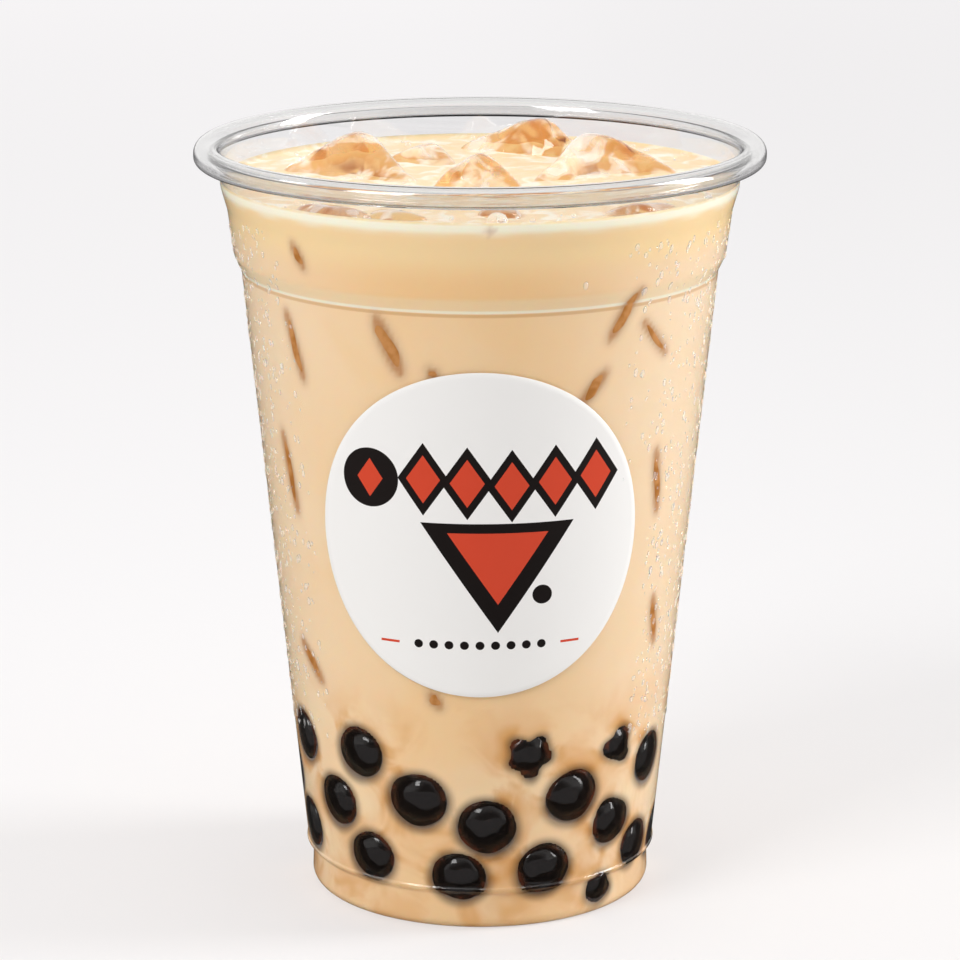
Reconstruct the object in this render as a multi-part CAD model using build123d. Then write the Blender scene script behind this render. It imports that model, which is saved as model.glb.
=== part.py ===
from build123d import *
import os
from math import atan2, cos, pi, sin, sqrt, tan

os.makedirs("parts", exist_ok=True)

# ---- Driving dimensions, in millimetres ----

# Cup: one thermoformed sheet of clear plastic with a rolled lip.
cup_height = 132.6
rim_radius = 49.0  # outside of the rolled lip
foot_radius = 29.95  # outside of the foot
wall = 0.5
foot_ring_width = 4.95  # flat ring that the cup stands on
punt_rise = 1.6  # raised centre of the base
punt_slope_width = 3.0
punt_round = 1.2
foot_round = 1.8
groove_height = 4.4  # narrowest place, just above the foot
groove_depth = 0.15
groove_round = 1.2
wall_start_height = 7.4  # where the straight wall begins
wall_start_step = 0.75  # how far it stands out from the foot there
wall_start_round = 1.6
rim_overhang = 7.9  # from the straight wall's top out to the lip
shoulder_drop = 21.8  # below the top of the cup, and so for the next three
band_drop = 19.3
neck_drop = 11.3
mouth_drop = 7.6
band_step = 1.2  # how far the stacking band stands out from the wall
band_flare = 1.1
neck_flare = 1.05
shoulder_round = 1.0
band_round = 1.2
neck_round = 6.0
mouth_round = 4.0
lip_width = 4.35  # from the inner edge of the mouth to the outside of the lip
lip_height = 3.5
lip_return = 2.3  # how far the lip's free edge turns back under
lip_upturn = 1.2
lip_inner_round = 1.8
lip_outer_round = 1.3
lip_under_round = 0.6
lip_end_round = 0.4

# Label: a round paper sticker that follows the wall.
label_diameter = 57.6
label_thickness = 0.12
label_gap = 0.02
label_rise = 13.0  # its centre above the middle of the straight wall
outline_points = 36

# Milk tea, up to the level in the mouth of the cup.
headspace = 6.6
liquid_gap = 0.05

# Tapioca pearls, in steps of one pearl: along the wall from the front, up from the ground, and size.
pearl_diameter = 10.0
pearl_squash = 0.6  # how far each one is flattened by the wall
pearl_film = 0.2  # tea between that flat and the wall
reach_samples = 8  # heights tried on each half of a flat
front_pearls = [
    (-4.05, 2.10, 0.94),
    (-3.35, 3.00, 0.94),
    (-3.30, 1.30, 0.94),
    (-2.40, 2.05, 0.94),
    (-1.90, 3.10, 0.96),
    (-1.70, 1.20, 0.92),
    (-0.90, 2.40, 1.04),
    (-0.30, 1.00, 0.96),
    (0.10, 1.95, 1.04),
    (0.75, 3.25, 0.90),
    (0.95, 1.10, 0.98),
    (1.40, 2.40, 1.00),
    (2.00, 0.50, 0.70),
    (2.15, 1.75, 0.92),
    (2.30, 3.15, 0.88),
    (2.80, 1.10, 0.88),
    (3.10, 2.65, 0.94),
    (3.70, 1.00, 0.94),
]
# Rows of pearls round the far side, from the bottom: pitch, then the row's two ends on the right and
# on the left. All are in the same steps along the wall, and the last line serves any row above it.
back_pearls = 18
back_rows = [
    (1.12, 4.75, 4.80),
    (1.22, 4.42, 5.20),
    (1.45, 4.50, 4.70),
]
back_wobble = 0.06
back_size = 0.93
back_size_wobble = 0.04

# Ice that stands out of the tea. Each block is its top corner, the two upper edges that slope away
# from it, and the edge that goes down. The corner's height is measured from the tea's surface.
ice_surface_radius = 44.0  # the surface that these places are chosen for
ice_round = 1.0
ice_blocks = [
    ((-21.0, 13.0, 7.0), (-15.0, -4.0, -8.0), (13.0, -21.0, -9.0), (3.0, 4.0, -16.0)),
    ((-8.0, 23.0, 3.2), (-9.0, -3.0, -3.0), (6.0, -11.0, -5.0), (1.0, 1.0, -12.0)),
    ((11.7, 30.0, 7.4), (-17.0, 3.0, -7.0), (9.0, -10.0, -7.0), (-1.0, 3.0, -15.0)),
    ((0.0, -8.0, 7.1), (-13.0, -10.0, -9.0), (12.0, -12.0, -10.0), (0.0, 3.0, -15.0)),
    ((19.0, 12.0, 7.0), (-12.0, -16.0, -9.0), (19.0, -5.0, -8.5), (-3.0, 4.0, -16.0)),
]

# ---- Heights and radii that follow from them ----

shoulder_height = cup_height - shoulder_drop
tea_level = cup_height - headspace
punt_radius = foot_radius - foot_ring_width - punt_slope_width
wall_start_radius = foot_radius + wall_start_step
wall_end_radius = rim_radius - rim_overhang
band_radius = wall_end_radius + band_step
neck_radius = band_radius + band_flare
mouth_radius = neck_radius + neck_flare
lip_edge_radius = rim_radius - wall
wall_taper = atan2(wall_end_radius - wall_start_radius, shoulder_height - wall_start_height)

# The outer face of the sheet, from the middle of the base to the free edge of the lip.
route = [
    (0, punt_rise),
    (punt_radius, punt_rise),
    (punt_radius + punt_slope_width, 0),
    (foot_radius, 0),
    (foot_radius - groove_depth, groove_height),
    (wall_start_radius, wall_start_height),
    (wall_end_radius, shoulder_height),
    (band_radius, cup_height - band_drop),
    (neck_radius, cup_height - neck_drop),
    (mouth_radius, cup_height - mouth_drop),
    (rim_radius - lip_width + wall, cup_height - wall),
    (lip_edge_radius, cup_height - wall),
    (lip_edge_radius, cup_height - lip_height + wall),
    (lip_edge_radius - lip_return, cup_height - lip_height + wall),
    (lip_edge_radius - lip_return, cup_height - lip_height + wall + lip_upturn),
]
rounds = [
    punt_round,
    punt_round,
    foot_round,
    groove_round,
    wall_start_round,
    shoulder_round,
    band_round,
    neck_round,
    mouth_round,
    lip_inner_round,
    lip_outer_round,
    lip_under_round,
    lip_end_round,
]
lip_start = 10  # the corner of the route where the lip begins


# ---- Outlines ----


def turn(before, corner, after):
    """Signed sine of the bend at a corner: positive where the route turns to the left."""
    ax, az = corner[0] - before[0], corner[1] - before[1]
    bx, bz = after[0] - corner[0], after[1] - corner[1]
    return ax * bz - az * bx


def left_normal(start, end):
    dx, dz = end[0] - start[0], end[1] - start[1]
    length = sqrt(dx * dx + dz * dz)
    return -dz / length, dx / length


def beside(points, distance):
    """The same route, moved to its left, towards the drink, by a distance."""
    moved = []
    for i, (x, z) in enumerate(points):
        normals = []
        if i > 0:
            normals.append(left_normal(points[i - 1], points[i]))
        if i < len(points) - 1:
            normals.append(left_normal(points[i], points[i + 1]))
        nx = sum(n[0] for n in normals) / len(normals)
        nz = sum(n[1] for n in normals) / len(normals)
        stretch = distance / (nx * nx + nz * nz)
        moved.append((x + nx * stretch, z + nz * stretch))
    return moved


def beside_rounds(points, radii, distance):
    """Corner radii of the moved route, so that both sides of the sheet bend about one centre."""
    changed = []
    for i, radius in enumerate(radii):
        side = -1 if turn(*points[i : i + 3]) > 0 else 1
        changed.append(radius + side * distance)
    return changed


def spun(*edges):
    """A solid of revolution about the upright axis from edges drawn as (radius, height)."""
    return revolve(Plane.XZ * make_face(list(edges)), axis=Axis.Z)


def cup_solid():
    outer = FilletPolyline(*route, radius=rounds)
    inner = FilletPolyline(*beside(route, wall), radius=beside_rounds(route, rounds, wall))
    return spun(outer, inner, Line(outer @ 0, inner @ 0), Line(outer @ 1, inner @ 1))


def room_points():
    """The sheet's inner face with the liquid's clearance, up to the lip."""
    return beside(route, wall + liquid_gap)[: lip_start + 1]


def room_solid():
    """All that the tea, the pearls and the sunk ice fill, up to the tea's surface."""
    radii = beside_rounds(route, rounds[: lip_start - 1], wall + liquid_gap)
    side = FilletPolyline(*room_points(), radius=radii)
    top = (side @ 1).Y
    whole = spun(side, Line(side @ 1, (0, top)), Line((0, top), side @ 0))
    return split(whole, Plane.XY.offset(tea_level), keep=Keep.BOTTOM)


def room_radius(height):
    """Inside radius at a height above the foot, with the route's corners left sharp."""
    points = room_points()[3:]
    for (low_radius, low), (high_radius, high) in zip(points, points[1:]):
        if height < high:
            break
    return low_radius + (high_radius - low_radius) * (height - low) / (high - low)


# ---- Pieces ----


def wall_radius(height):
    """Outside radius of the straight wall."""
    return wall_start_radius + (height - wall_start_height) * (wall_end_radius - wall_start_radius) / (
        shoulder_height - wall_start_height
    )


def label_solid():
    """A disc cut flat and wrapped on the cone: a point keeps its distance along the wall."""
    half = label_diameter / 2
    centre = (wall_start_height + shoulder_height) / 2 + label_rise
    outline = []
    for i in range(outline_points):
        angle = 2 * pi * i / outline_points
        height = centre + half * sin(angle) * cos(wall_taper)
        radius = wall_radius(height)
        outline.append((radius * sin(half * cos(angle) / radius), height))
    punch = extrude(Plane.XZ * make_face(Spline(*outline, periodic=True)), amount=rim_radius)
    low, high = centre - half, centre + half
    near, far = label_gap, label_gap + label_thickness
    paper = Polyline(
        (wall_radius(low) + near, low),
        (wall_radius(low) + far, low),
        (wall_radius(high) + far, high),
        (wall_radius(high) + near, high),
        close=True,
    )
    return spun(*paper.edges()) & punch


def pearl_reach(up, size):
    """How far from the cup's axis a pearl's centre lies when its flat meets the wall or the groove."""
    radius = size * pearl_diameter / 2
    flat = sqrt(radius * radius - (radius - pearl_squash) * (radius - pearl_squash))
    steps = [flat * i / reach_samples for i in range(-reach_samples, reach_samples + 1)]
    room = min(room_radius(up * pearl_diameter + step) - step * tan(wall_taper) for step in steps)
    return room - (radius - pearl_squash + pearl_film) / cos(wall_taper)


def pearl_solid(angle, up, size):
    """A ball with one flat, square to the wall that it leans on."""
    radius = size * pearl_diameter / 2
    reach = pearl_reach(up, size)
    outward = Vector(sin(angle), -cos(angle))
    centre = outward * reach + Vector(0, 0, up * pearl_diameter)
    ball = split(Sphere(radius), Plane.XY.offset(radius - pearl_squash), Keep.BOTTOM)
    return Plane(centre, z_dir=outward - Vector(0, 0, tan(wall_taper))) * ball


def front_places():
    return [
        (around * pearl_diameter / pearl_reach(up, size), up, size)
        for around, up, size in front_pearls
    ]


def back_places():
    """Rows round the side that faces away, a little uneven, filled from the bottom."""
    places = []
    row = 0
    while len(places) < back_pearls:
        pitch, right_end, left_end = back_rows[min(row, len(back_rows) - 1)]
        reach = pearl_reach(row + 1, 1)
        first = right_end * pearl_diameter / reach
        arc = 2 * pi - left_end * pearl_diameter / reach - first
        gaps = max(int(arc / (pitch * pearl_diameter / reach)), 1)
        for i in range(min(gaps + 1, back_pearls - len(places))):
            size = back_size + back_size_wobble * cos(1.7 * i + row)
            up = row + 1 + back_wobble * sin(2.4 * i + row)
            places.append((first + i * arc / gaps, up, size))
        row += 1
    return places


def ice_solid(corner, left, right, down):
    """A melted block: a slanted box with one corner up and every edge rounded."""
    spread = room_radius(tea_level) / ice_surface_radius
    top = Vector(corner[0] * spread, corner[1] * spread, tea_level + corner[2])
    left, right, down = (Vector(x * spread, y * spread, z) for x, y, z in (left, right, down))
    face = Face(Wire.make_polygon([top, top + left, top + left + right, top + right], close=True))
    return fillet(Solid.extrude(face, down).edges(), ice_round)


# ---- Build and write ----

room = room_solid()
pieces = {"cup": cup_solid(), "label": label_solid()}
for number, block in enumerate(ice_blocks, 1):
    pieces[f"ice_{number}"] = ice_solid(*block)
for number, place in enumerate(front_places() + back_places(), 1):
    pieces[f"pearl_{number:02d}"] = pearl_solid(*place)

sunk = [piece for name, piece in pieces.items() if name.startswith(("ice", "pearl"))]
pieces["milk_tea"] = room - sunk

for name, piece in pieces.items():
    export_step(piece, f"parts/{name}.step")
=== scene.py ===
import math
import random

import bmesh
import bpy
import numpy as np
from mathutils import Matrix, Vector, noise
from mathutils.bvhtree import BVHTree


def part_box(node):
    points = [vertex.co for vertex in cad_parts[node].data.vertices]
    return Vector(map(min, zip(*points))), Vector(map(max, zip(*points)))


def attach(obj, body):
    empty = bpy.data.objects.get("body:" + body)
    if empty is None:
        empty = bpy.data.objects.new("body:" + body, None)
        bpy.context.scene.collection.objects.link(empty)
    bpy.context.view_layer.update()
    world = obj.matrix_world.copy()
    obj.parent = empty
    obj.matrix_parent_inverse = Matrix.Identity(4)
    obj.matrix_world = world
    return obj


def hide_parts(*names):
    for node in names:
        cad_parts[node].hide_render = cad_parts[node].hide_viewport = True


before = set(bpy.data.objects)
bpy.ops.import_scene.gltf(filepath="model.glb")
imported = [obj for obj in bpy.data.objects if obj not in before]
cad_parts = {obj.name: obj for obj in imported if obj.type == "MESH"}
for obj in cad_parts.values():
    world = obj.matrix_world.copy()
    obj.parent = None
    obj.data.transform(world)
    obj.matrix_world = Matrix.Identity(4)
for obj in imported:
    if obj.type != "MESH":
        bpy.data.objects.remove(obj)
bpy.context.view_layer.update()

# ---- Cup ----
# A cold cup without its lid: one thermoformed sheet of clear PET, 0.5 mm thick, with a punt in its
# base, a groove, a step below a straight band, and a rolled lip.
# Both faces of the sheet are spun round the axis, and the free edge of the lip is rounded.
MM = 0.001
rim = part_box("cup")[1]
rim_radius = rim.x / MM
cup_height = rim.z / MM
step_height = cup_height - 21.8
wall = 0.5
wall_lean = math.radians(5.74)
sharpest = 0.12  # least corner radius of either face, in mm
support = 0.3  # how far a support point stands from the end of a long stretch, in mm
# Outer face of the sheet as (radius, height, corner radius), in mm, from the middle of the base.
route = [
    (0.0, 1.6, 0),
    (22.0, 1.6, 1.2),
    (25.0, 0.0, 1.2),
    (29.95, 0.0, 1.8),
    (29.75, 6.3, 0.5),
    (30.90, 7.35, 0.3),
    (30.93, 7.7, 0.25),
    (30.71, 7.95, 0.3),
    (rim_radius - 7.9, step_height, 0.6),
    (rim_radius - 6.7, step_height + 2.5, 0.8),
    (rim_radius - 5.6, cup_height - 11.3, 6.0),
    (rim_radius - 4.55, cup_height - 7.6, 4.0),
    (rim_radius - 3.85, cup_height - 0.5, 1.8),
    (rim_radius - 0.5, cup_height - 0.5, 1.3),
    (rim_radius - 0.5, cup_height - 3.0, 0.6),
    (rim_radius - 2.8, cup_height - 3.0, 0.4),
    (rim_radius - 2.8, cup_height - 1.8, 0),
]


def rounded(points, distance=0.0, steps=8):
    """The route with an arc at each corner, moved to its left, towards the drink."""
    place = np.array([p[:2] for p in points], float)
    ahead = np.diff(place, axis=0)
    ahead /= np.linalg.norm(ahead, axis=1)[:, None]
    left = np.stack([-ahead[:, 1], ahead[:, 0]], axis=1)
    line = [place[0] + distance * left[0]]
    for i in range(1, len(points) - 1):
        into, out_of = ahead[i - 1], ahead[i]
        here = place[i] + distance * (left[i - 1] + left[i]) / (1 + left[i - 1] @ left[i])
        side = 1 if into[0] * out_of[1] > into[1] * out_of[0] else -1
        radius = max(points[i][2] - side * distance, sharpest)
        half = math.acos(np.clip(-into @ out_of, -1, 1)) / 2
        inward = (out_of - into) / np.linalg.norm(out_of - into)
        centre = here + inward * radius / math.sin(half)
        start = here - into * radius / math.tan(half) - centre
        end = here + out_of * radius / math.tan(half) - centre
        for step in range(steps + 1):
            spoke = start + (end - start) * step / steps
            line.append(centre + spoke * radius / np.linalg.norm(spoke))
    line.append(place[-1] + distance * left[-1])
    # A close pair of points at both ends of each long stretch keeps its shading straight.
    kept = [line[0]]
    for point in line[1:]:
        length = np.linalg.norm(point - kept[-1])
        if length > 5 * support:
            step = (point - kept[-1]) / length * support
            kept.extend([kept[-1] + step, point - step])
        kept.append(point)
    return np.array(kept)


outer = rounded(route)
inner = rounded(route, wall)


def radius_at(height):
    """Radius of the outer face at a height in the wall, in mm."""
    part = outer[(outer[:, 1] > 2.5) & (outer[:, 0] < rim_radius - 3)]
    order = np.argsort(part[:, 1])
    return np.interp(height, part[order, 1], part[order, 0])


def on_wall(angle, height, inset=0.0):
    """A point in metres: degrees round from the front, and mm up and in from the outer face."""
    turn = np.radians(angle)
    radius = radius_at(height) - inset
    return np.stack([radius * np.sin(turn), -radius * np.cos(turn), height + 0 * turn], axis=-1) * MM


edge_middle = (outer[-1] + inner[-1]) / 2
edge_round = [
    edge_middle + wall / 2 * np.array([math.cos(a), math.sin(a)])
    for a in (math.radians(d) for d in (30, 60, 90, 120, 150))
]


def mesh_from(bm, name):
    """The mesh of a finished bmesh, with its faces turned outwards."""
    bmesh.ops.recalc_face_normals(bm, faces=bm.faces)
    mesh = bpy.data.meshes.new(name)
    bm.to_mesh(mesh)
    bm.free()
    return mesh


def spun(name, outline, steps):
    """A closed mesh from an outline of (radius, height) in mm, carried once round the cup's axis."""
    outline = np.array(outline, float)
    rows = len(outline) - 1
    bm = bmesh.new()
    bmesh.ops.create_grid(bm, x_segments=steps, y_segments=rows, size=1.0)
    for v in bm.verts:
        radius, height = outline[round((v.co.y + 1) / 2 * rows)]
        turn = math.pi * v.co.x
        v.co = (radius * math.cos(turn) * MM, radius * math.sin(turn) * MM, height * MM)
    bmesh.ops.remove_doubles(bm, verts=bm.verts, dist=1e-6)
    return mesh_from(bm, name)


cup_mesh = spun("cup_wall", [*outer, *edge_round, *inner[::-1]], steps=256)


def srgb(code):
    """Linear RGBA of an sRGB hex colour."""
    channels = [int(code[i : i + 2], 16) / 255 for i in (0, 2, 4)]
    return [c / 12.92 if c <= 0.04045 else ((c + 0.055) / 1.055) ** 2.4 for c in channels] + [1.0]


def material(name):
    """A material that has no nodes yet."""
    made = bpy.data.materials.new(name)
    made.use_nodes = True
    made.node_tree.nodes.clear()
    return made


def add(tree, kind, inputs=(), **settings):
    """Adds a shader node. Its inputs are set or linked by name, or in their order as a tuple."""
    made = tree.nodes.new("ShaderNode" + kind)
    for name, value in settings.items():
        setattr(made, name, value)
    if isinstance(inputs, dict):
        pairs = [(made.inputs[name], value) for name, value in inputs.items()]
    else:
        pairs = zip([socket for socket in made.inputs if socket.enabled], inputs)
    for socket, value in pairs:
        if isinstance(value, bpy.types.Node):
            value = next(output for output in value.outputs if output.enabled)
        if isinstance(value, bpy.types.NodeSocket):
            tree.links.new(value, socket)
        else:
            socket.default_value = value
    return made


def clear_surface(made, look):
    """Clear plastic, ice or water, which lets the lamps' light through to what is behind it."""
    tree = made.node_tree
    path = add(tree, "LightPath")
    straight_rays = (path.outputs["Is Shadow Ray"], path.outputs["Is Diffuse Ray"])
    straight = add(tree, "Math", straight_rays, operation="MAXIMUM")
    glass = add(tree, "BsdfPrincipled", look)
    open_way = add(tree, "BsdfTransparent", {"Color": srgb("ffffff")})
    mixed = add(tree, "MixShader", (straight, glass, open_way))
    add(tree, "OutputMaterial", {"Surface": mixed})


def finished(name, mesh, made, slot_name, *nodes):
    """A smooth piece that rides on the cup and stands for the CAD nodes named."""
    piece = bpy.data.objects.new(name, mesh)
    bpy.context.scene.collection.objects.link(piece)
    piece.data.materials.clear()
    piece.data.materials.append(made)
    piece.data.polygons.foreach_set("use_smooth", [True] * len(mesh.polygons))
    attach(piece, "root")
    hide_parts(*nodes)


# PET is clear and glossy, and a little grey where it is seen edge on.
pet = material("clear_pet")
pet_look = {"Base Color": srgb("f7f7f7"), "Roughness": 0.01, "IOR": 1.57, "Transmission Weight": 1.0}
clear_surface(pet, pet_look)
finished("cup_wall", cup_mesh, pet, "clear_cup", "cup")

# ---- Milk tea ----
# Tea with milk and syrup, an opaque drink with a line of foam and a frothy top.
# Its skin is spun just inside the plastic, so that no air shows between them. It steps back round
# each pearl, and the surface dips under each ice block.
tea_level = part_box("milk_tea")[1].z / MM
skin_depth = 0.3
pearl_zone = 37.5  # the skin's mesh is finer up to this height


def resampled(line, spacing):
    """Points along a line, as far apart as the spacing that each place asks for."""
    lengths = np.concatenate([[0], np.cumsum(np.linalg.norm(np.diff(line, axis=0), axis=1))])
    points = []
    at = 0.0
    while at < lengths[-1]:
        point = np.array([np.interp(at, lengths, line[:, i]) for i in (0, 1)])
        points.append(point)
        at += spacing(point)
    return [*points, line[-1]]


def side_spacing(point):
    """Wide steps under the base, fine ones beside the pearls and middling ones above them, in mm."""
    if point[0] < 24:
        return 2.4
    return 0.42 if point[1] < pearl_zone else 0.8


skin = rounded(route, skin_depth)
above = int(np.argmax(skin[:, 1] > tea_level))
low, high = skin[above - 1], skin[above]
brim = low + (high - low) * (tea_level - low[1]) / (high[1] - low[1])
side = resampled(np.vstack([skin[:above], brim]), side_spacing)
top_rings = 43
top = [(r, tea_level) for r in np.linspace(brim[0], 0, top_rings + 1)[1:]]
tea_mesh = spun("milk_tea_body", [*side, *top], steps=360)


def corners(mesh):
    """Places of a mesh's corners in metres, one row each."""
    places = np.empty(len(mesh.vertices) * 3)
    mesh.vertices.foreach_get("co", places)
    return places.reshape(-1, 3)


def move_corners(mesh, places):
    """Moves a mesh's corners to places in metres."""
    mesh.vertices.foreach_set("co", np.asarray(places, float).ravel())
    mesh.update()


def keep_values(mesh, name, values):
    """Keeps a value for each corner under a name that a material can read."""
    mesh.attributes.new(name, "FLOAT", "POINT").data.foreach_set("value", np.asarray(values, np.float32))


def smooth(values, low, high):
    """0 below low and 1 above high, with an eased slope between."""
    t = np.clip((values - low) / (high - low), 0, 1)
    return t * t * (3 - 2 * t)


tea = corners(tea_mesh) / MM
radius = np.hypot(tea[:, 0], tea[:, 1])
on_top = tea[:, 2] > tea_level - 0.01
angle = np.degrees(np.arctan2(tea[:, 0], -tea[:, 1]))


def wavy(points, scale, seed):
    """Smooth noise from -1 to 1 at points in mm."""
    return np.array([noise.noise(Vector(p) / scale + Vector((seed, 2 * seed, -seed))) for p in points])


# Pearls: centre, size and outward direction of each one, read from its node.
pearls = []
for name in sorted(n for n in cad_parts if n.startswith("pearl")):
    low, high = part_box(name)
    places = corners(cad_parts[name].data) / MM
    size = (high.z - low.z) / MM / 2
    around = math.atan2(places[:, 0].mean(), -places[:, 1].mean())
    reach = np.hypot(places[:, 0], places[:, 1]).min() + size
    flat = np.array([math.sin(around), -math.cos(around), 0.0])
    pearls.append(
        {
            "name": name,
            "size": size,
            "centre": flat * reach + np.array([0, 0, (low.z + high.z) / MM / 2]),
            "out": flat * math.cos(wall_lean) - np.array([0, 0, math.sin(wall_lean)]),
            "along": np.array([math.cos(around), math.sin(around), 0.0]),
            "up": flat * math.sin(wall_lean) + np.array([0, 0, math.cos(wall_lean)]),
        }
    )
# Pearls that the tea partly covers: the share that shows, how ragged the tea's edge is over it,
# how many lobes that edge has, and where they start.
covered = {
    "pearl_10": (0.76, 0.25, 5, 0.9),
    "pearl_13": (0.76, 0.12, 3, 1.2),
    "pearl_14": (0.91, 0.07, 3, 0.0),
    "pearl_15": (0.64, 0.13, 3, 2.9),
}
# Depth of a pearl's face and of the hollow in the tea behind it, in mm from the outside of the wall.
face_depth, face_edge_depth, hollow_depth = 0.34, 0.47, 0.8
depth = np.zeros(len(tea))
halo = np.zeros(len(tea))
syrup = np.zeros(len(tea))
# Each pearl presses a hollow in the tea, with syrup round it and a dark ring at its edge.
for number, pearl in enumerate(pearls):
    offset = tea - pearl["centre"]
    near = (np.linalg.norm(offset, axis=1) < pearl["size"] + 6) & ~on_top
    near[near] &= offset[near] @ pearl["out"] > 0
    offset = offset[near]
    across, up = offset @ pearl["along"], offset @ pearl["up"]
    spread = np.hypot(across, up)
    turn = np.arctan2(up, across)
    share, ragged, lobes, phase = covered.get(pearl["name"], (0.97, 0.035, 2, number))
    wobble = (
        0.7 * np.cos(lobes * turn + phase)
        + 0.35 * np.sin(3 * turn + 2.1 * number)
        + 0.25 * np.sin(5 * turn + 1.3 * number)
    )
    edge = pearl["size"] * (share + ragged * wobble)
    inside = 1 - smooth(spread, edge - 0.25, edge + 0.35)
    depth[near] = np.maximum(depth[near], inside * (hollow_depth - skin_depth))
    syrup[near] = np.maximum(syrup[near], 1 - smooth(spread, edge, edge + 6.0))
    halo[near] = np.maximum(halo[near], 1 - smooth(spread, edge - 0.3, edge + 1.9))
inward = np.stack([-tea[:, 0], -tea[:, 1], np.zeros(len(tea))], axis=1)
inward /= np.maximum(radius, 0.01)[:, None]
tea += inward * depth[:, None]
# Syrup has settled in the base too, and thins out above the pearls.
syrup = np.maximum(syrup, 0.9 * (1 - smooth(tea[:, 2], 6, 15)))
syrup = np.maximum(syrup, 0.4 * (1 - smooth(tea[:, 2], 33, 47))) * (0.6 + 0.4 * smooth(tea[:, 2], 5, 9))
keep_values(tea_mesh, "halo", halo)
keep_values(tea_mesh, "syrup", syrup)


def faces_of(mesh):
    """A mesh's faces as a tree that finds the nearest one, or the one that a line meets."""
    return BVHTree.FromPolygons([v.co for v in mesh.vertices], [p.vertices for p in mesh.polygons])


# Ice blocks of the CAD model, copied, merged and made into even meshes for melting.
blocks = []
for name in sorted(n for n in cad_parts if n.startswith("ice")):
    bm = bmesh.new()
    bm.from_mesh(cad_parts[name].data)
    bmesh.ops.remove_doubles(bm, verts=bm.verts, dist=1e-6)
    source = bpy.data.objects.new(name + "_even", mesh_from(bm, name + "_even"))
    bpy.context.scene.collection.objects.link(source)
    even = source.modifiers.new("even", "REMESH")
    even.mode = "VOXEL"
    even.voxel_size = 0.55 * MM
    soft = source.modifiers.new("soft", "SMOOTH")
    soft.factor = 0.5
    soft.iterations = 70
    even_mesh = bpy.data.meshes.new_from_object(source.evaluated_get(bpy.context.evaluated_depsgraph_get()))
    # Its ridges are where it has been worn down by more than a millimetre or so; the ice's material paints a
    # highlight there.
    plain = faces_of(source.data)
    worn = np.array([plain.find_nearest(v.co)[3] for v in even_mesh.vertices]) / MM
    keep_values(even_mesh, "ridge", smooth(worn, 0.8, 2.0))
    bpy.data.objects.remove(source)
    blocks.append((name, even_mesh))

# Where ice stands in the tea, the surface follows the block down to a limit. A point is inside a
# block if a line straight up from it meets a face from behind.
dip_limit, dip_slope = 9.0, 1.8
dip = np.zeros(len(tea))
for name, even_mesh in blocks:
    block = faces_of(even_mesh)
    for i in np.nonzero(on_top)[0]:
        place = Vector(tea[i]) * MM
        hit = block.ray_cast(place, Vector((0, 0, 1)))
        if hit[0] is not None and hit[1].z > 0:
            dip[i] = max(dip[i], min(block.find_nearest(place)[3] / MM * dip_slope, dip_limit))
# The froth is uneven, and the tea creeps a little way up the wall.
foam_noise = wavy(tea * [1, 1, 0.5], 6.0, 3.1)
rise = 0.22 * wavy(tea, 2.2, 5.3) + 0.18 * foam_noise
creep_height, creep_reach = 0.35, 0.9
meniscus = creep_height * np.exp(-(brim[0] - radius) / creep_reach)
edge_fade = smooth(brim[0] - radius, 0.1, 1.2)
tea[on_top, 2] += (meniscus + (rise - 0.3) * edge_fade - dip)[on_top]
move_corners(tea_mesh, tea * MM)

# Ice deeper down that touches the wall: its two ends as (degrees, height), and its half width in mm.
wall_ice = [
    ((-45.6, 120.0), (-43.0, 116.6), 0.75),
    ((-52.5, 107.5), (-48.0, 96.6), 0.85),
    ((-24.6, 109.1), (-19.2, 100.2), 1.25),
    ((-11.9, 100.9), (-10.6, 99.6), 0.7),
    ((-60.2, 85.6), (-56.5, 72.3), 0.9),
    ((38.9, 112.8), (32.1, 105.2), 1.0),
    ((42.0, 107.0), (50.5, 101.0), 0.6),
    ((31.3, 99.4), (25.4, 94.7), 0.95),
    ((50.9, 83.7), (53.6, 72.7), 0.85),
    ((56.4, 56.6), (59.2, 48.4), 0.9),
    ((-61.6, 48.0), (-52.8, 42.0), 1.1),
    ((-14.0, 43.6), (-11.6, 41.4), 0.9),
    ((96.0, 104.0), (101.0, 92.0), 1.0),
    ((128.0, 112.0), (121.0, 104.0), 0.9),
    ((150.0, 88.0), (156.0, 78.0), 1.0),
    ((-98.0, 99.0), (-104.0, 90.0), 0.9),
    ((-128.0, 108.0), (-121.0, 97.0), 1.1),
    ((-152.0, 76.0), (-147.0, 66.0), 0.9),
    ((178.0, 104.0), (171.0, 95.0), 1.0),
]
veil = np.zeros(len(tea))
slit = np.zeros(len(tea))
for (a0, z0), (a1, z1), half in wall_ice:
    scale = radius_at((z0 + z1) / 2) * math.pi / 180
    start, end = np.array([a0 * scale, z0]), np.array([a1 * scale, z1])
    here = np.stack([angle * scale, tea[:, 2]], axis=1) - start
    share = np.clip(here @ (end - start) / ((end - start) @ (end - start)), 0, 1)
    away = np.linalg.norm(here - share[:, None] * (end - start), axis=1)
    half_here = half * (0.3 + 0.7 * np.sqrt(1 - (2 * share - 1) ** 2))
    veil = np.maximum(veil, (1 - smooth(away, half_here * 0.6, half_here + 2.0)) * ~on_top)
    slit = np.maximum(slit, (1 - smooth(away, half_here * 0.6, half_here + 0.6)) * ~on_top)
# One small bubble clings to the wall in the foam.
mark_angle, mark_height = 2.1, tea_level - 1.0
mark_across = (angle - mark_angle) * radius_at(mark_height) * math.pi / 180
mark_away = np.hypot(mark_across, tea[:, 2] - mark_height)
veil = np.maximum(veil, 1.2 * (1 - smooth(mark_away, 0.5, 1.1)) * ~on_top)
keep_values(tea_mesh, "veil", veil)
keep_values(tea_mesh, "slit", slit)

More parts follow.
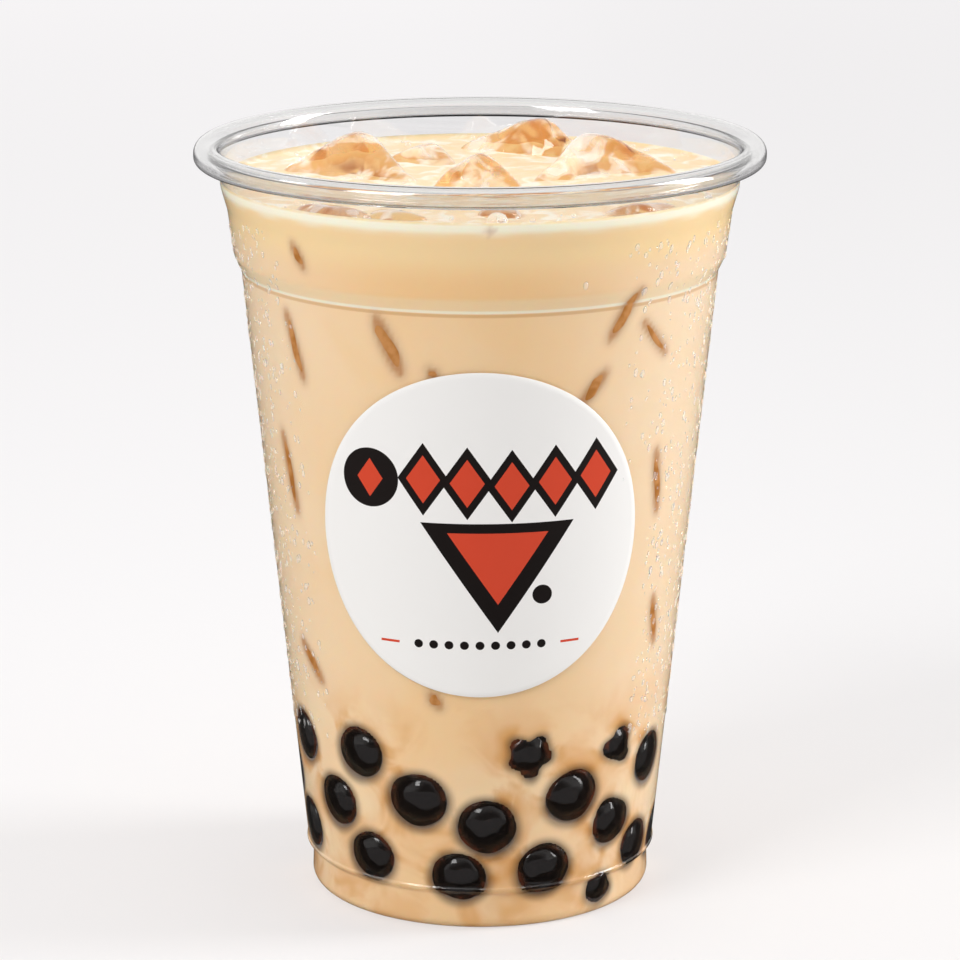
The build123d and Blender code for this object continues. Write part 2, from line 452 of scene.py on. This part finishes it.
# Ice tips that just break the surface near the front: place, and half length along the wall, in mm.
sunk = smooth(dip, 0.3, 4.0)
ice_tips = [(-24.4, -31.8, 6.0), (-13.7, -36.2, 4.5), (3.3, -34.2, 3.5), (26.2, -29.4, 6.5)]
for x, y, half_length in ice_tips:
    turn = math.atan2(x, -y)
    along_wall = (tea[:, 0] - x) * math.cos(turn) + (tea[:, 1] - y) * math.sin(turn)
    off_wall = (tea[:, 0] - x) * math.sin(turn) - (tea[:, 1] - y) * math.cos(turn)
    away = np.hypot(along_wall / (1.3 * half_length), off_wall / 4.6)
    sunk = np.maximum(sunk, 0.9 * (1 - smooth(away, 0.6, 1.0)))
keep_values(tea_mesh, "dip", sunk * on_top)
keep_values(tea_mesh, "top", on_top)
# The foam's lower edge wanders as it goes round.
foam_depth = 1.6
wander = wavy(np.outer(angle / 7, [1, 0, 0]), 1.0, 8.0)
foam_line = tea_level - foam_depth + 0.35 * wander
keep_values(tea_mesh, "foam", smooth(tea[:, 2], foam_line - 0.5, foam_line + 0.5) * ~on_top)


def laid_over(tree, under, where, strength, code):
    """A colour over another, by a value from 0 to 1 times a strength."""
    amount = add(tree, "Math", (where, strength), operation="MULTIPLY")
    return add(tree, "Mix", (amount, under, srgb(code)), data_type="RGBA")


def apart(tree, value, middle):
    """How far a value is from another."""
    difference = add(tree, "Math", (value, middle), operation="SUBTRACT")
    return add(tree, "Math", (difference,), operation="ABSOLUTE")


# Milk tea is satin and lets a little light in, which softens its shading.
milk = material("milk_tea")
tree = milk.node_tree
place = add(tree, "TexCoord").outputs["Object"]
sideways, _, height = add(tree, "SeparateXYZ", (place,)).outputs
eased = {"interpolation_type": "SMOOTHSTEP"}  # for a range with soft ends
drift = add(tree, "TexNoise", {"Vector": place, "Scale": 1 / (18.2 * MM), "Distortion": 0.6})
warmer = add(tree, "MapRange", (drift, 0.35, 0.65), **eased)
body = add(tree, "Mix", (warmer, srgb("f8d2a2"), srgb("f9d6ab")), data_type="RGBA")
band_part = add(tree, "MapRange", (height, (step_height - 1.3) * MM, (step_height + 2.7) * MM), **eased)
body = laid_over(tree, body, band_part, 1.0, "f7cd98")
# Paler towards the two sides: painted light, standing in for the brighter light on the drink's two flanks.
right = add(tree, "MapRange", (sideways, 4 * MM, 40 * MM, 0.0, 0.62), **eased)
left = add(tree, "MapRange", (sideways, -10 * MM, -44 * MM, 0.0, 0.55), **eased)
painted_side_light = add(tree, "Math", (right, left), operation="MAXIMUM")
body = laid_over(tree, body, painted_side_light, 1.0, "fae4cc")
# Clouds of plain milk low down, then veins and clouds of caramel syrup between the pearls.
pearl_part = add(tree, "MapRange", (height, 30 * MM, 46 * MM, 1.0, 0.0), **eased)
milk_noise = add(tree, "TexNoise", {"Vector": place, "Scale": 1 / (16.1 * MM), "Distortion": 0.5})
milky = add(tree, "MapRange", (milk_noise, 0.48, 0.66), **eased)
milky = add(tree, "Math", (milky, pearl_part), operation="MULTIPLY")
body = laid_over(tree, body, milky, 0.5, "f9e0ba")
vein_look = {"Vector": place, "Scale": 1 / (14.3 * MM), "Detail": 1.5, "Distortion": 0.7}
off_vein = apart(tree, add(tree, "TexNoise", vein_look), 0.5)
veins = add(tree, "MapRange", (off_vein, 0.0, 0.11, 1.0, 0.0), **eased)
cloud_look = {"Vector": place, "Scale": 1 / (11.8 * MM), "Detail": 4.0, "Distortion": 0.8}
clouds = add(tree, "TexNoise", cloud_look)
dense = add(tree, "MapRange", (clouds, 0.40, 0.52), **eased)
veins = add(tree, "Math", (veins, dense), operation="MULTIPLY")
haze = add(tree, "MapRange", (clouds, 0.42, 0.60, 0.0, 0.50), **eased)
streaks = add(tree, "Math", (veins, 0.46, haze), operation="MULTIPLY_ADD")
near_pearls = add(tree, "Attribute", attribute_name="syrup").outputs["Fac"]
streaks = add(tree, "Math", (streaks, near_pearls), operation="MULTIPLY")
body = laid_over(tree, body, streaks, 1.0, "d8984a")
# Warmer, paler tea straight under the foam: painted light, for the glow of light that comes down through the
# froth.
painted_glow_under_foam = add(tree, "MapRange", (height, (tea_level - 11) * MM, (tea_level - 4.5) * MM), **eased)
body = laid_over(tree, body, painted_glow_under_foam, 1.0, "ffdcaa")
# Painted light at the step in the wall: a pale slope that evens out its shading, then a fine painted
# highlight line over a fine painted shade line.
for level, reach, strength, code in (
    (1.3, 1.6, 0.45, "ffe6c0"),
    (0.15, 0.4, 0.75, "fff6e4"),
    (-0.5, 0.4, 0.45, "c9975c"),
):
    off_level = apart(tree, height, (step_height + level) * MM)
    line = add(tree, "MapRange", (off_level, 0.4 * reach * MM, reach * MM, 1.0, 0.0), **eased)
    body = laid_over(tree, body, line, strength, code)
# Foam, a grey veil and an amber tinge round ice at the wall, and a dark ring round each pearl.
for name, strength, code in (
    ("foam", 1.0, "fff5e2"),
    ("veil", 0.42, "b89a80"),
    ("slit", 0.75, "c08450"),
    ("halo", 0.82, "4e4038"),
):
    where = add(tree, "Attribute", attribute_name=name).outputs["Fac"]
    body = laid_over(tree, body, where, strength, code)
# Froth on top, and amber and white patches where the tea is seen through ice.
froth_look = {"Vector": place, "Scale": 1 / (5.26 * MM), "Detail": 4.0, "Distortion": 1.2}
swirl = add(tree, "MapRange", (add(tree, "TexNoise", froth_look), 0.46, 0.66, 0.0, 0.75), **eased)
froth = add(tree, "Mix", (swirl, srgb("f3d6ac"), srgb("fff5e6")), data_type="RGBA")
top_part = add(tree, "Attribute", attribute_name="top").outputs["Fac"]
body = add(tree, "Mix", (top_part, body, froth), data_type="RGBA")
through_ice = add(tree, "TexNoise", {"Vector": place, "Scale": 1 / (6.67 * MM), "Distortion": 0.8})
white_spots = add(tree, "MapRange", (through_ice, 0.52, 0.62), **eased)
under_ice = add(tree, "Mix", (white_spots, srgb("c28238"), srgb("fdf3e4")), data_type="RGBA")
dip_part = add(tree, "Attribute", attribute_name="dip").outputs["Fac"]
dip_part = add(tree, "Math", (dip_part, 0.95), operation="MULTIPLY")
body = add(tree, "Mix", (dip_part, body, under_ice), data_type="RGBA")
drink = add(
    tree,
    "BsdfPrincipled",
    {
        "Base Color": body,
        "Roughness": 0.35,
        "IOR": 1.33,
        "Specular IOR Level": 0.3,
        "Subsurface Weight": 0.5,
        "Subsurface Radius": (1.0, 0.65, 0.4),
        "Subsurface Scale": 2.0 * MM,
    },
)
add(tree, "OutputMaterial", {"Surface": drink})
finished("milk_tea_body", tea_mesh, milk, "milk_tea", "milk_tea")

# ---- Ice that stands out of the tea ----
# Five blocks of clear ice with melted, wavy faces and blunt tops.
# They are the CAD model's own blocks, worn round and pushed out and in by noise.
# Ice is glossy and clear, with tea seen through it in amber patches, and a painted highlight on its ridges,
# pale and partly cloudy.
ice = material("clear_ice")
tree = ice.node_tree
place = add(tree, "TexCoord").outputs["Object"]
ridge = add(tree, "Attribute", attribute_name="ridge").outputs["Fac"]
tea_seen = add(tree, "TexNoise", {"Vector": place, "Scale": 1 / (6.67 * MM), "Distortion": 0.8})
amber_part = add(tree, "MapRange", (tea_seen, 0.46, 0.58), **eased)
cast = add(tree, "Mix", (amber_part, srgb("fffaf4"), srgb("d99a4e")), data_type="RGBA")
# Painted highlight: the ridges are drawn pale, and made partly cloudy by the haze below.
cast = laid_over(tree, cast, ridge, 0.85, "fffaf2")
crazed = add(tree, "MapRange", (tea_seen, 0.36, 0.46, 0.40, 0.0), **eased)
highlight_haze = add(tree, "Math", (ridge, 0.50), operation="MULTIPLY")
crazing_and_highlight_haze = add(tree, "Math", (crazed, highlight_haze), operation="MAXIMUM")
pits = add(tree, "TexNoise", {"Vector": place, "Scale": 1 / (4.35 * MM), "Detail": 1.0})
pitted = add(tree, "Bump", {"Height": pits, "Strength": 0.8, "Distance": 0.5 * MM})
ice_look = {
    "Base Color": cast,
    "Roughness": 0.03,
    "IOR": 1.31,
    "Transmission Weight": add(tree, "Math", (1.0, crazing_and_highlight_haze), operation="SUBTRACT"),
    "Normal": pitted,
    "Coat Weight": 1.0,
    "Coat Roughness": 0.03,
    "Coat Normal": pitted,
}
clear_surface(ice, ice_look)
for number, (name, even_mesh) in enumerate(blocks):
    places = corners(even_mesh) / MM
    normals = np.array([v.normal for v in even_mesh.vertices])
    melt = 0.55 * wavy(places, 6.0, number + 1.7) + 0.22 * wavy(places, 2.6, number + 7.7) + 0.9
    places += normals * melt[:, None]
    # Melted tops are blunt: the last 5 mm are squeezed.
    blunt_from = places[:, 2].max() - 5.0
    over = np.maximum(places[:, 2] - blunt_from, 0)
    places[:, 2] -= over - 5.2 * np.tanh(over / 4.6)
    # They still reach as high as the block.
    stands = places[:, 2] > tea_level
    stretch = (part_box(name)[1].z / MM - 0.2 - tea_level) / (places[:, 2].max() - tea_level)
    places[stands, 2] = tea_level + (places[stands, 2] - tea_level) * stretch
    move_corners(even_mesh, places * MM)
    finished(name + "_melted", even_mesh, ice, "ice", name)

# ---- Ice tips near the front ----
# Tops of blocks that just break the surface, of the same clear ice.
# They are low, uneven humps that lie along the wall, one joined piece.


def repeated(name, count, detail):
    """One mesh of so many unit balls, and the number of the ball that each corner belongs to."""
    bm = bmesh.new()
    bmesh.ops.create_icosphere(bm, subdivisions=detail, radius=1.0)
    ball = mesh_from(bm, name + "_ball")
    bm = bmesh.new()
    for _ in range(count):
        bm.from_mesh(ball)
    mesh = bpy.data.meshes.new(name)
    bm.to_mesh(mesh)
    bm.free()
    return mesh, np.arange(len(mesh.vertices)) // len(ball.vertices)


tip_mesh, owners = repeated("ice_tips", len(ice_tips), detail=4)
unit = corners(tip_mesh)
x, y, half_length = np.array(ice_tips)[owners].T
turn = np.arctan2(x, -y)
swell = 1 + 0.25 * wavy(unit + owners[:, None] * 7, 0.9, 2.5)
along_wall, off_wall = unit[:, 0] * half_length * 1.1 * swell, -unit[:, 1] * 3.0 * swell
tip_x = x + along_wall * np.cos(turn) + off_wall * np.sin(turn)
tip_y = y + along_wall * np.sin(turn) - off_wall * np.cos(turn)
move_corners(tip_mesh, np.stack([tip_x, tip_y, tea_level - 0.5 + unit[:, 2] * 1.5 * swell], axis=1) * MM)
# The band where a tip meets the tea gets the ice's painted ridge highlight.
keep_values(tip_mesh, "ridge", 1 - smooth(np.abs(unit[:, 2]), 0.05, 0.3))
finished("ice_tips", tip_mesh, ice, "ice")

# ---- Ice edges that touch the wall ----
# Edges of deeper blocks that press through the tea against the plastic, where they show amber.
# They are thin, bent lens shapes, seated in the tea's skin, one joined piece.
bm = bmesh.new()
for (a0, z0), (a1, z1), half in wall_ice:
    scale = radius_at((z0 + z1) / 2) * math.pi / 180
    length = math.hypot((a1 - a0) * scale, z1 - z0) / 2
    lean = math.atan2(z1 - z0, (a1 - a0) * scale)
    made = bmesh.ops.create_uvsphere(bm, u_segments=32, v_segments=16, radius=1.0)
    for v in made["verts"]:
        x, y, deep = v.co
        width = 1.1 * half * (1 + 0.35 * noise.noise(Vector((2.2 * x, a0, z0))))
        x, y = x * length, (y + 0.25 * math.sin(3 * x + a0)) * width
        across = x * math.cos(lean) - y * math.sin(lean)
        up = x * math.sin(lean) + y * math.cos(lean)
        v.co = on_wall((a0 + a1) / 2 + across / scale, (z0 + z1) / 2 + up, skin_depth + 0.10 - 0.16 * deep)
edge_mesh = mesh_from(bm, "ice_at_wall")
# Wet ice with tea behind it is satin, in two tones of amber.
amber = material("ice_edge_in_tea")
tree = amber.node_tree
place = add(tree, "TexCoord").outputs["Object"]
mottle = add(tree, "TexNoise", {"Vector": place, "Scale": 1 / (2.38 * MM)})
paler = add(tree, "MapRange", (mottle, 0.35, 0.65), **eased)
tone = add(tree, "Mix", (paler, srgb("b0702f"), srgb("cc8e52")), data_type="RGBA")
wet = add(tree, "BsdfPrincipled", {"Base Color": tone, "Roughness": 0.3, "IOR": 1.31})
add(tree, "OutputMaterial", {"Surface": wet})
finished("ice_at_wall", edge_mesh, amber, "ice")

# ---- Tapioca pearls ----
# Chewy balls of cooked tapioca starch in brown syrup, about 10 mm across.
# They are pressed flat where they lean on the wall, with their faces just inside the plastic.
pearl_mesh, owners = repeated("tapioca_pearls", len(pearls), detail=4)
unit = corners(pearl_mesh)
places = np.empty_like(unit)
shading = np.empty_like(unit)
rim_share = np.empty(len(unit))
face_share = 0.97
for number, pearl in enumerate(pearls):
    own = owners == number
    across, up, out = unit[own].T
    size = pearl["size"] * (1 + 0.05 * wavy(unit[own], 0.8, 3.1 * number))
    spread = np.hypot(across, up)
    # The face follows the wall nearly out to its rim, and there it turns back round.
    past = np.clip((spread - face_share) / (1 - face_share), 0, 1)
    face = face_depth + (face_edge_depth - face_depth) * (spread / face_share) ** 2
    depths = face + 1 - np.sqrt(1 - past**2) + np.where(out > 0, 0, -out * (2 * pearl["size"] - 2.2))
    heights = pearl["centre"][2] + up * size * pearl["up"][2]
    turn = across * size / radius_at(heights)
    middle = math.degrees(math.atan2(pearl["along"][1], pearl["along"][0]))
    places[own] = on_wall(middle + np.degrees(turn), heights, depths)
    # The face shades as the round ball that it is pressed from.
    lean = 0.55 + 0.25 * spread**3
    dents = 0.10 * np.array([wavy(unit[own], 0.42, 5.3 * number), wavy(unit[own], 0.42, 9.1 * number + 4)])
    sideways, upwards = across * lean + dents[0], up * lean + dents[1]
    frontal = np.sqrt(np.maximum(1 - sideways**2 - upwards**2, 0.02))
    mixed = np.where(out > 0, [sideways, upwards, frontal], [across, up, out])
    shading[own] = mixed.T @ np.array([pearl["along"], pearl["up"], pearl["out"]])
    shown = covered.get(pearl["name"], (1.0,))[0]
    rim_share[own] = np.where(out > 0, spread / shown, 1.0)
keep_values(pearl_mesh, "rim", rim_share)
move_corners(pearl_mesh, places)
# Cooked starch is wet, glossy and almost black, with a brown, see-through rim in places.
tapioca = material("tapioca_pearl")
tree = tapioca.node_tree
place = add(tree, "TexCoord").outputs["Object"]
patch_noise = add(tree, "TexNoise", {"Vector": place, "Scale": 1 / (3.85 * MM), "Detail": 3.0})
patches = add(tree, "MapRange", (patch_noise, 0.42, 0.68), **eased)
rim_part = add(tree, "Attribute", attribute_name="rim").outputs["Fac"]
rim_part = add(tree, "MapRange", (rim_part, 0.70, 1.0), **eased)
brown = add(tree, "Math", (rim_part, patches), operation="MULTIPLY")
dark = add(tree, "Mix", (brown, srgb("120d0b"), srgb("5a2c1a")), data_type="RGBA")
starch = add(tree, "BsdfPrincipled", {"Base Color": dark, "Roughness": 0.06, "IOR": 1.5})
add(tree, "OutputMaterial", {"Surface": starch})
finished("tapioca_pearls", pearl_mesh, tapioca, "tapioca", *[p["name"] for p in pearls])
pearl_mesh.normals_split_custom_set_from_vertices(shading.tolist())

# ---- Label ----
# A round sticker of coated paper on the front, with plain dots, diamonds and a triangle in two inks.
# It is a thin disc with a bevelled edge, wrapped round the cone and held by its glue.
low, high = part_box("label")
label_height = (low.z + high.z) / MM / 2
label_radius = (high.z - low.z) / MM / 2 / math.cos(wall_lean)
paper_thick, paper_bevel, glue = 0.12, 0.06, 0.02
paper_edge = [
    (0, 0),
    (label_radius - paper_bevel, 0),
    (label_radius, paper_thick / 2),
    (label_radius - paper_bevel, paper_thick),
    (0, paper_thick),
]
bm = bmesh.new()
bm.from_mesh(spun("label_disc", paper_edge, steps=192))
bmesh.ops.subdivide_edges(bm, edges=[e for e in bm.edges if e.calc_length() > 3 * MM], cuts=27)
bmesh.ops.triangulate(bm, faces=[f for f in bm.faces if len(f.verts) > 4])
label_mesh = mesh_from(bm, "label_paper")
flat = corners(label_mesh) / MM
keep_values(label_mesh, "across", flat[:, 0])
keep_values(label_mesh, "up", flat[:, 1])
heights = label_height + flat[:, 1] * math.cos(wall_lean)
degrees = np.degrees(flat[:, 0] / radius_at(heights))
move_corners(label_mesh, on_wall(degrees, heights, -glue - flat[:, 2]))
# Coated paper is white and satin, and the inks lie flat in it.
paper = material("label_paper")
tree = paper.node_tree
across = add(tree, "Attribute", attribute_name="across").outputs["Fac"]
up = add(tree, "Attribute", attribute_name="up").outputs["Fac"]


def off_line(coordinate, middle, reach):
    """How far a point of the paper is from a line, as a share of a reach in mm."""
    return add(tree, "Math", (apart(tree, coordinate, middle), reach), operation="DIVIDE")


def diamond(x, y, half_width, half_height):
    """This is 1 on the outline and less inside it, as for the next shapes."""
    offsets = (off_line(across, x, half_width), off_line(up, y, half_height))
    return add(tree, "Math", offsets, operation="ADD")


def dot(x, y, size):
    """A round spot of a radius in mm."""
    aside, above = off_line(across, x, size), off_line(up, y, size)
    square = add(tree, "Math", (above, above), operation="MULTIPLY")
    square = add(tree, "Math", (aside, aside, square), operation="MULTIPLY_ADD")
    return add(tree, "Math", (square,), operation="SQRT")


def triangle(x, y, half_width, tall):
    """It points down, and its level edge is at y."""
    below = add(tree, "Math", (y, up), operation="SUBTRACT")
    below = add(tree, "Math", (below, tall), operation="DIVIDE")
    slopes = add(tree, "Math", (off_line(across, x, half_width), below), operation="ADD")
    level_edge = add(tree, "Math", (below, -3.0, 1.0), operation="MULTIPLY_ADD")
    return add(tree, "Math", (slopes, level_edge), operation="MAXIMUM")


def printed(under, shape, reach, ink):
    """Ink where a shape's value is less than a reach."""
    return laid_over(tree, under, add(tree, "Math", (shape, reach), operation="LESS_THAN"), 1.0, ink)


red, black = "d8401c", "1b1210"
tone = srgb("f2f0ee")
bordered = [(diamond(-9.5 + 7.4 * i, 9.0 + 0.5 * abs(i - 2), 4.4, 6.4), 0.66) for i in range(5)]
bordered.append((triangle(3.0, 2.4, 13.0, 19.5), 0.74))
for shape, core in bordered:
    tone = printed(tone, shape, 1.0, black)
    tone = printed(tone, shape, core, red)
tone = printed(tone, dot(-19.0, 9.5, 5.2), 1.0, black)
tone = printed(tone, diamond(-19.0, 9.5, 2.4, 3.4), 1.0, red)
tone = printed(tone, dot(10.5, -10.5, 1.7), 1.0, black)
row_height = -19.4
for i in range(9):
    tone = printed(tone, dot(-10.4 + 2.6 * i, row_height, 0.75), 1.0, black)
for x in (-15.5, 15.5):
    dash = (off_line(across, x, 1.7), off_line(up, row_height, 0.22))
    tone = printed(tone, add(tree, "Math", dash, operation="MAXIMUM"), 1.0, red)
sticker = add(tree, "BsdfPrincipled", {"Base Color": tone, "Roughness": 0.45, "IOR": 1.45})
add(tree, "OutputMaterial", {"Surface": sticker})
finished("label_paper", label_mesh, paper, "label_paper", "label")

# ---- Condensation ----
# Small drops of water on the outside of the cold wall, thickest towards the two sides and the back.
# They are flattened balls, half sunk in the wall's outer face, one joined piece.
# Water is clear and mirror smooth, with a white diffuse share: painted light that makes the drops pale, as
# the light they catch does.
water = material("clear_water")
water_look = {"Base Color": srgb("ffffff"), "Roughness": 0.0, "IOR": 1.33, "Transmission Weight": 0.88}
clear_surface(water, water_look)
rng = random.Random(7)
# Each drop: degrees round, height, half width and half height in mm. The front is nearly bare, apart
# from the right part of the band.
drop_count = 2300
drop_places = []
while len(drop_places) < drop_count:
    around = rng.choice((rng.uniform(36, 100), rng.uniform(-100, -50), rng.uniform(-180, 180)))
    up = rng.uniform(30, 121)
    on_band = 8 < around < 50 and up > 111
    bare = -50 < around < 38 + (up < 80) * 12
    if bare and not (on_band and rng.random() < 0.7):
        continue
    if -60 < around < 50 and not on_band and rng.random() < 0.55:
        continue
    size = rng.choice((0.18, 0.22, 0.28, 0.36, 0.46)) * rng.uniform(0.85, 1.15)
    drop_places.append((around, up, size, size * rng.uniform(1.0, 1.6)))
drop_mesh, owners = repeated("condensation", drop_count, detail=2)
unit = corners(drop_mesh)
around, up, half_width, half_height = np.array(drop_places)[owners].T
turn = unit[:, 0] * half_width / radius_at(up) * 180 / math.pi
move_corners(drop_mesh, on_wall(around + turn, up + unit[:, 1] * half_height, -unit[:, 2] * half_width * 0.3))
finished("condensation", drop_mesh, water, "clear_cup")

# ---- Bubbles ----
# Thin domes of liquid on the surface near the wall, one large and a scatter of small ones.
# They are flattened balls, half sunk in the froth, one joined piece.
# Each bubble: its place on the surface and its radius, in mm.
small_bubbles = 46
bubbles = [(2.8, -39.6, 1.7)]
for _ in range(small_bubbles):
    around = math.radians(rng.uniform(-180, 180))
    reach = rng.uniform(36, 43.2)
    bubbles.append((reach * math.sin(around), -reach * math.cos(around), rng.uniform(0.25, 0.75)))
bubble_mesh, owners = repeated("surface_bubbles", len(bubbles), detail=3)
unit = corners(bubble_mesh)
x, y, size = np.array(bubbles)[owners].T
heights = tea_level - 0.1 + unit[:, 2] * size * 0.8
move_corners(bubble_mesh, np.stack([x + unit[:, 0] * size, y + unit[:, 1] * size, heights], axis=1) * MM)
finished("surface_bubbles", bubble_mesh, water, "milk_tea")

# ---- Stage ----
# A matt, pale sheet of paper that the cup stands on and casts its shadow on, 12 m square, in a white
# studio that is dark only in front, where it is open.
bm = bmesh.new()
bmesh.ops.create_grid(bm, x_segments=1, y_segments=1, size=6.0, matrix=Matrix.Translation((0, 2.0, 0)))
floor = bpy.data.objects.new("floor", mesh_from(bm, "floor"))
bpy.context.scene.collection.objects.link(floor)
# The sheet glows a little where it is seen, so that it shows white without more light on the cup.
# In mirror reflections it is dark close by, which draws the curves of the clear lip and base.
table = material("pale_table")
tree = table.node_tree
path = add(tree, "LightPath")
seen_rays = (path.outputs["Is Camera Ray"], path.outputs["Is Transmission Ray"])
seen = add(tree, "Math", seen_rays, operation="MAXIMUM")
place = add(tree, "TexCoord").outputs["Object"]
from_cup = add(tree, "VectorMath", (place,), operation="LENGTH")
near = add(tree, "MapRange", (from_cup, 0.20, 3.0, 1.0, 0.0), **eased)
mirrored = add(tree, "Math", (path.outputs["Glossy Depth"], 0.5), operation="GREATER_THAN")
mirrored = add(tree, "Math", (near, mirrored), operation="MULTIPLY")
pale = add(tree, "Mix", (seen, srgb("e2e2e2"), srgb("b2b2b2")), data_type="RGBA")
pale = laid_over(tree, pale, mirrored, 1.0, "303030")
rightward, away, _ = add(tree, "SeparateXYZ", (place,)).outputs
glow = add(tree, "MapRange", (away, 0.2, 2.4, 0.450, 0.700), **eased)
lit_side = add(tree, "MapRange", (rightward, -0.06, 0.14, 0.0, 0.045), **eased)
glow = add(tree, "Math", (glow, lit_side), operation="SUBTRACT")
matt = add(
    tree,
    "BsdfPrincipled",
    {
        "Base Color": pale,
        "Roughness": 0.8,
        "Specular IOR Level": 0.0,
        "Emission Color": srgb("fbf8fa"),
        "Emission Strength": add(tree, "Math", (seen, glow), operation="MULTIPLY"),
    },
)
add(tree, "OutputMaterial", {"Surface": matt})
floor.data.materials.append(table)

# The studio's walls and ceiling.
world = bpy.data.worlds.new("studio")
bpy.context.scene.world = world
world.use_nodes = True
tree = world.node_tree
tree.nodes.clear()
direction = add(tree, "TexCoord").outputs["Generated"]
_, backward, upward = add(tree, "SeparateXYZ", (direction,)).outputs
forward = add(tree, "Math", (backward, -1.0), operation="MULTIPLY")
forward = add(tree, "Math", (upward, -0.25, forward), operation="MULTIPLY_ADD")
open_front = add(tree, "MapRange", (forward, 0.35, 0.85), **eased)
ceiling = add(tree, "MapRange", (upward, 0.1, 0.9, 1.0, 0.72))
level = add(tree, "MapRange", (open_front, 0.0, 1.0, ceiling, 0.12))
sky = add(tree, "Background", {"Color": srgb("fffefd"), "Strength": level})
add(tree, "OutputWorld", {"Surface": sky})


def softbox(name, place, width, height, watts):
    """A white rectangular lamp that faces the middle of the cup."""
    data = bpy.data.lights.new(name, "AREA")
    data.shape = "RECTANGLE"
    data.size, data.size_y = width, height
    data.energy = watts
    lamp = bpy.data.objects.new(name, data)
    bpy.context.scene.collection.objects.link(lamp)
    lamp.location = place
    lamp.rotation_euler = (Vector((0, 0, 0.06)) - Vector(place)).to_track_quat("-Z", "Y").to_euler()


softbox("key_left", (-0.75, -0.75, 0.95), 0.55, 0.55, 7.8)
softbox("side_right", (1.1, 0.1, 0.55), 0.35, 0.9, 9.5)

# The cup from a little above, through a long lens.
camera_data = bpy.data.cameras.new("camera")
camera_data.lens = 143.122
camera_data.sensor_width = 36.0
camera = bpy.data.objects.new("camera", camera_data)
bpy.context.scene.collection.objects.link(camera)
camera.location = (0, -0.646854, 0.239925)
camera_tilt = 14.5265  # degrees down from level
camera.rotation_euler = (math.radians(90 - camera_tilt), 0, 0)
bpy.context.scene.camera = camera
bpy.context.scene.view_settings.view_transform = "Standard"
